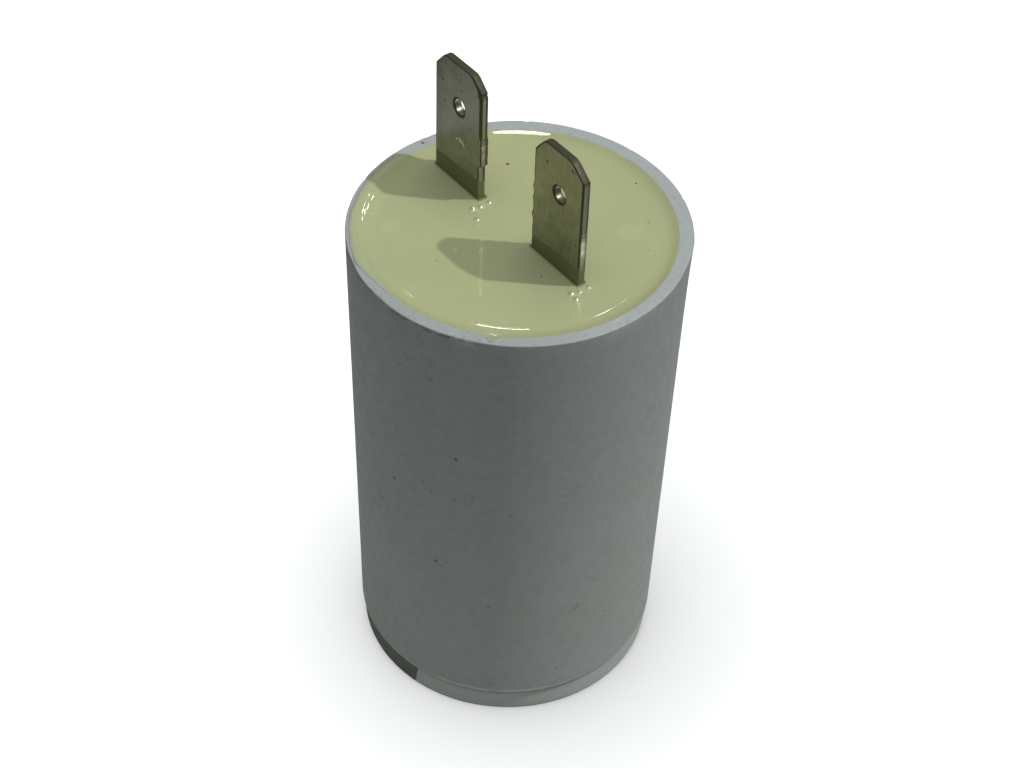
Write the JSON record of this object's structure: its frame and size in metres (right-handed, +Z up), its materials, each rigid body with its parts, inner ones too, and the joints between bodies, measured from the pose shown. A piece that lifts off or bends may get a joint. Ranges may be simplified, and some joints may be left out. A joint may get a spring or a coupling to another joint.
{
  "type": "film capacitor",
  "caption": "Round potted film capacitor: a tall moulded cup filled with resin, with push-on blade terminals standing edge to edge on top.",
  "frame": {"origin": "middle of the underside of the cup, on the surface that it stands on", "axes": "+Z up along the cup's axis towards the blades; X along the line through the blades, which lie in the XZ plane"},
  "size_m": [0.03, 0.03, 0.0613],
  "materials": {
    "case_plastic": "moulded, satin",
    "potting_resin": "poured, glossy",
    "tinned_blade": "tin-plated sheet, dull",
    "metallised_film": "wound film, silvery",
    "core_tube": "extruded tube",
    "zinc_spray": "sprayed metal, rough",
    "tinned_copper": "tinned wire",
    "sleeve": "extruded sleeve",
    "solder": "solidified, bright"
  },
  "bodies": {
    "root": {"case": "case_plastic", "potting_resin": "potting_resin", "near_blade": "tinned_blade", "far_blade": "tinned_blade", "film_winding": "metallised_film", "winding_core": "core_tube", "upper_end_spray": "zinc_spray", "lower_end_spray": "zinc_spray", "short_lead": "tinned_copper", "long_lead": "tinned_copper", "lead_sleeve": "sleeve", "near_tail_solder": "solder", "far_tail_solder": "solder", "upper_end_solder": "solder", "lower_end_solder": "solder"}
  },
  "joints": []
}
